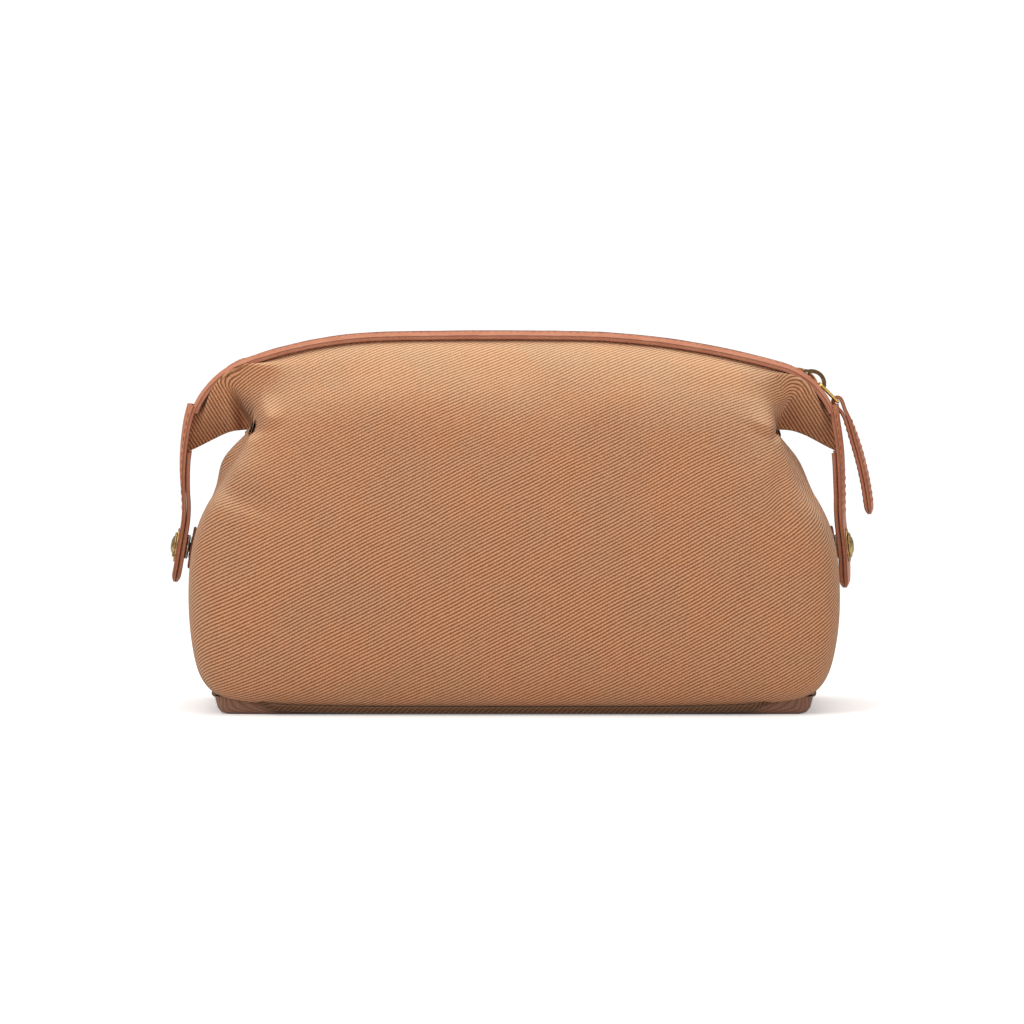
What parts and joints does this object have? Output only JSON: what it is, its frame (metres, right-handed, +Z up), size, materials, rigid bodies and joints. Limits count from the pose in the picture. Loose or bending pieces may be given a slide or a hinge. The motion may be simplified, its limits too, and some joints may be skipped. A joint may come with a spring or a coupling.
{
  "type": "shaving kit bag",
  "caption": "Soft twill shaving kit bag with a leather-trimmed zip over its arched top and end tabs that snap down onto the sides.",
  "frame": {"origin": "on the ground under the middle of the bag, on the flat underside of the bottom panel", "axes": "+Z up, +X along the zip towards the end where the closed slider rests, -Y out of the front panel"},
  "size_m": [0.3024, 0.1278, 0.1616],
  "materials": {
    "canvas": "cotton twill canvas",
    "lining": "plain cotton lining",
    "tape": "woven zip tape",
    "thread": "waxed thread",
    "leather": "vegetable-tanned, burnished edges",
    "board": "stiffener sheet",
    "zip_metal": "antiqued",
    "ring_metal": "bright",
    "snap_metal": "aged"
  },
  "bodies": {
    "base": {"bottom_panel": "canvas", "bottom_piping": "canvas", "base_board": "board", "bottom_lining": "lining", "zip_bottom_stop": "zip_metal", "left_snap_patch": "leather", "left_snap_stud": "snap_metal", "right_snap_patch": "leather", "right_snap_stud": "snap_metal"},
    "front_half": {"front_panel": "canvas", "front_lining": "lining", "front_trim": "leather", "front_zip_tape": "tape", "front_trim_stitching": "thread", "front_zip_teeth": "zip_metal"},
    "back_half": {"back_panel": "canvas", "back_lining": "lining", "back_trim": "leather", "back_zip_tape": "tape", "back_trim_stitching": "thread", "back_zip_teeth": "zip_metal"},
    "lock_pin": {"zip_lock_pin": "zip_metal"},
    "slider": {"zip_slider": "zip_metal"},
    "ring": {"pull_ring": "ring_metal"},
    "pull": {"pull_strap": "leather", "pull_stitching": "thread"},
    "left_tab": {"left_tab_outer_ply": "leather", "left_tab_inner_ply": "leather", "left_tab_stitching": "thread", "left_snap_plate": "snap_metal", "left_snap_cap": "snap_metal", "left_snap_socket": "snap_metal"},
    "right_tab": {"right_tab_outer_ply": "leather", "right_tab_inner_ply": "leather", "right_tab_stitching": "thread", "right_snap_plate": "snap_metal", "right_snap_cap": "snap_metal", "right_snap_socket": "snap_metal"}
  },
  "joints": [
    {"name": "zip_travel", "type": "hinge", "parent": "base", "child": "lock_pin", "pos_m": [0.00415, 0, -0.24544], "axis": [0, 1, 0], "range_deg": [-36.9, 0]},
    {"name": "zip_tilt", "type": "hinge", "parent": "lock_pin", "child": "slider", "pos_m": [0.12561, 0, 0.14332], "axis": [0, 1, 0], "range_deg": [-49.1, 0.1]},
    {"name": "front_opening", "type": "hinge", "parent": "base", "child": "front_half", "pos_m": [0, -0.05, 0.0036], "axis": [1, 0, 0], "range_deg": [-0.05, 11.1], "deforming": ["front_zip_tape", "front_zip_teeth"]},
    {"name": "back_opening", "type": "hinge", "parent": "base", "child": "back_half", "pos_m": [0, 0.05, 0.0036], "axis": [1, 0, 0], "range_deg": [-11.1, 0.05], "deforming": ["back_zip_tape", "back_zip_teeth"]},
    {"name": "ring_swing", "type": "hinge", "parent": "slider", "child": "ring", "pos_m": [0.13143, 0, 0.1385], "axis": [0, 1, 0], "range_deg": [-120, 4]},
    {"name": "pull_swing", "type": "hinge", "parent": "ring", "child": "pull", "pos_m": [0.13893, 0, 0.13101], "axis": [0, 1, 0], "range_deg": [-60, 12], "deforming": ["pull_strap", "pull_stitching"]},
    {"name": "left_tab_lift", "type": "hinge", "parent": "base", "child": "left_tab", "pos_m": [-0.1396, 0, 0.1254], "axis": [0, 1, 0], "range_deg": [0, 100]},
    {"name": "right_tab_lift", "type": "hinge", "parent": "base", "child": "right_tab", "pos_m": [0.1379, 0, 0.1254], "axis": [0, 1, 0], "range_deg": [-100, 0]}
  ],
  "couplings": [
    {"joint": "zip_tilt", "follows": "zip_travel", "ratio": 1.3284},
    {"joint": "front_opening", "follows": "zip_travel", "ratio": -0.2981},
    {"joint": "back_opening", "follows": "zip_travel", "ratio": 0.2981}
  ]
}
